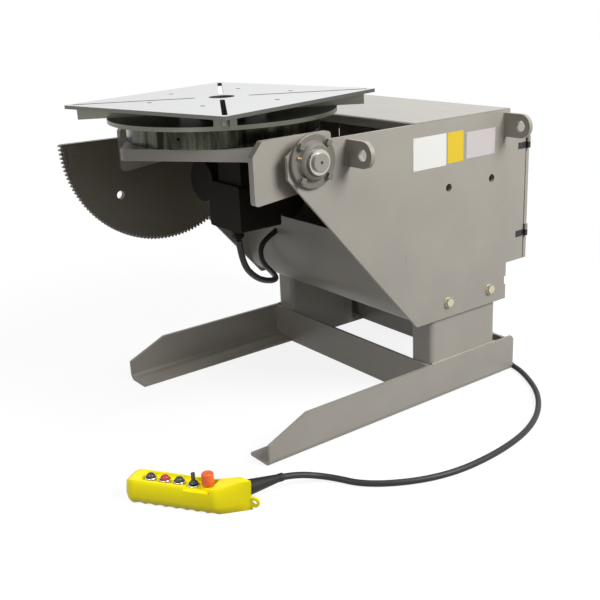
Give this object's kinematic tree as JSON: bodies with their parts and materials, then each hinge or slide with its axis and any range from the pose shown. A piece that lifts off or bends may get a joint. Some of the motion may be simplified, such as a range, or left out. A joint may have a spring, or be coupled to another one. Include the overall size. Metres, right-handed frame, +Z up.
{
  "type": "welding positioner",
  "caption": "Tilt-and-turn welding positioner: square slotted table on a slewing ring, geared tilting head between side plates, rear control cabinet and corded pendant.",
  "frame": {"origin": "on the floor under the middle of the front cross plate", "axes": "+X to the side with the cabinet hinges, -Y to the front, +Z up"},
  "size_m": [1.5567, 1.7538, 1.153],
  "materials": {
    "frame_paint": "satin",
    "head_paint": "satin",
    "sector_paint": "satin",
    "motor_black": "satin",
    "gearbox_paint": "satin",
    "ring_steel": "polished",
    "table_steel": "ground",
    "bar_steel": "ground",
    "shaft_steel": "turned",
    "gear_steel": "cut",
    "bolt_steel": "zinc plated",
    "housing_iron": "painted",
    "cabinet_paint": "textured",
    "gasket_rubber": "matt",
    "hinge_black": "satin",
    "latch_chrome": "polished",
    "panel_zinc": "zinc plated",
    "module_grey": "matt",
    "nipple_brass": "polished",
    "gland_plastic": "matt",
    "pendant_yellow": "satin",
    "button_black": "gloss",
    "button_red": "gloss",
    "knob_orange": "gloss",
    "bezel_chrome": "polished",
    "boot_rubber": "matt",
    "cord_rubber": "matt"
  },
  "bodies": {
    "base": {"back_panel": "panel_zinc", "bearing_housing_left": "housing_iron", "bearing_housing_right": "housing_iron", "belly_pan": "frame_paint", "cabinet_box": "cabinet_paint", "cabinet_gasket": "gasket_rubber", "cabinet_hinges": "hinge_black", "column_left": "frame_paint", "column_right": "frame_paint", "control_modules": "module_grey", "cord_gland": "gland_plastic", "cross_plate_front": "frame_paint", "cross_plate_rear": "frame_paint", "device_bezels": "bezel_chrome", "frame_bolts": "bolt_steel", "gearbox_shelf": "frame_paint", "grease_nipples": "nipple_brass", "leg_left": "frame_paint", "leg_right": "frame_paint", "lifting_lugs": "frame_paint", "motor_cable": "cord_rubber", "pendant_body": "pendant_yellow", "pendant_boot": "boot_rubber", "pendant_cord": "cord_rubber", "pendant_hook": "pendant_yellow", "rear_panel": "frame_paint", "side_plate_left": "frame_paint", "side_plate_right": "frame_paint", "tilt_gearbox": "gearbox_paint", "tilt_motor": "motor_black", "top_cover": "frame_paint"},
    "tilt_frame": {"arm_left": "head_paint", "arm_right": "head_paint", "hub_doublers": "head_paint", "saddle_plate": "head_paint", "shaft_spacers": "shaft_steel", "shaft_collars": "shaft_steel", "trunnion_shaft_left": "shaft_steel", "trunnion_shaft_right": "shaft_steel", "sector_gear": "sector_paint", "sector_bolts": "bolt_steel", "stop_dog": "sector_paint", "slewing_ring_outer": "ring_steel", "turn_gearbox": "motor_black", "turn_motor": "motor_black", "motor_terminal_box": "motor_black"},
    "table": {"table_plate": "table_steel", "t_slot_bars": "bar_steel", "table_disc": "head_paint", "slewing_ring_inner": "ring_steel"},
    "turn_pinion_gear": {"turn_pinion": "gear_steel"},
    "tilt_pinion_gear": {"tilt_pinion": "gear_steel"},
    "door": {"cabinet_door": "cabinet_paint"},
    "latch_lower": {"door_latch_lower": "latch_chrome"},
    "latch_upper": {"door_latch_upper": "latch_chrome"},
    "button_black_end": {"black_button_end": "button_black"},
    "button_red": {"red_button": "button_red"},
    "button_black_middle": {"black_button_middle": "button_black"},
    "toggle": {"toggle_lever": "button_black"},
    "knob": {"mushroom_knob": "knob_orange"}
  },
  "joints": [
    {"name": "tilt", "type": "hinge", "parent": "base", "child": "tilt_frame", "pos_m": [0, -0.525, 0.988], "axis": [1, 0, 0], "range_deg": [0, 135], "deforming": ["motor_cable"]},
    {"name": "table_turn", "type": "hinge", "parent": "tilt_frame", "child": "table", "pos_m": [0, -0.525, 1.092], "axis": [0, 0, 1], "continuous": true},
    {"name": "turn_pinion_spin", "type": "hinge", "parent": "tilt_frame", "child": "turn_pinion_gear", "pos_m": [0, -0.3125, 1], "axis": [0, 0, 1], "continuous": true},
    {"name": "tilt_pinion_spin", "type": "hinge", "parent": "base", "child": "tilt_pinion_gear", "pos_m": [-0.4645, -0.16646, 0.70787], "axis": [1, 0, 0], "range_deg": [-1400.62, 0]},
    {"name": "door_swing", "type": "hinge", "parent": "base", "child": "door", "pos_m": [0.478, 0.525, 0.719], "axis": [0, 0, -1], "range_deg": [0, 110]},
    {"name": "latch_lower_turn", "type": "hinge", "parent": "door", "child": "latch_lower", "pos_m": [-0.436, 0.54, 0.582], "axis": [0, -1, 0], "range_deg": [0, 90]},
    {"name": "latch_upper_turn", "type": "hinge", "parent": "door", "child": "latch_upper", "pos_m": [-0.436, 0.54, 0.856], "axis": [0, -1, 0], "range_deg": [0, 90]},
    {"name": "press_black_end", "type": "slide", "parent": "base", "child": "button_black_end", "axis": [0, 0, -1], "range_m": [0, 0.004], "stiffness_N_per_m": 600, "springref_m": -0.002},
    {"name": "press_red", "type": "slide", "parent": "base", "child": "button_red", "axis": [0, 0, -1], "range_m": [0, 0.004], "stiffness_N_per_m": 600, "springref_m": -0.002},
    {"name": "press_black_middle", "type": "slide", "parent": "base", "child": "button_black_middle", "axis": [0, 0, -1], "range_m": [0, 0.004], "stiffness_N_per_m": 600, "springref_m": -0.002},
    {"name": "toggle_tip", "type": "hinge", "parent": "base", "child": "toggle", "pos_m": [0.52731, -1.0535, 0.069], "axis": [-0.5635, 0.8261, 0], "range_deg": [-15, 15], "stiffness_Nm_per_rad": 0.4},
    {"name": "press_knob", "type": "slide", "parent": "base", "child": "knob", "axis": [0, 0, -1], "range_m": [0, 0.005], "stiffness_N_per_m": 600, "springref_m": -0.002}
  ],
  "couplings": [
    {"joint": "turn_pinion_spin", "follows": "table_turn", "ratio": 6},
    {"joint": "tilt_pinion_spin", "follows": "tilt", "ratio": -10.375}
  ]
}
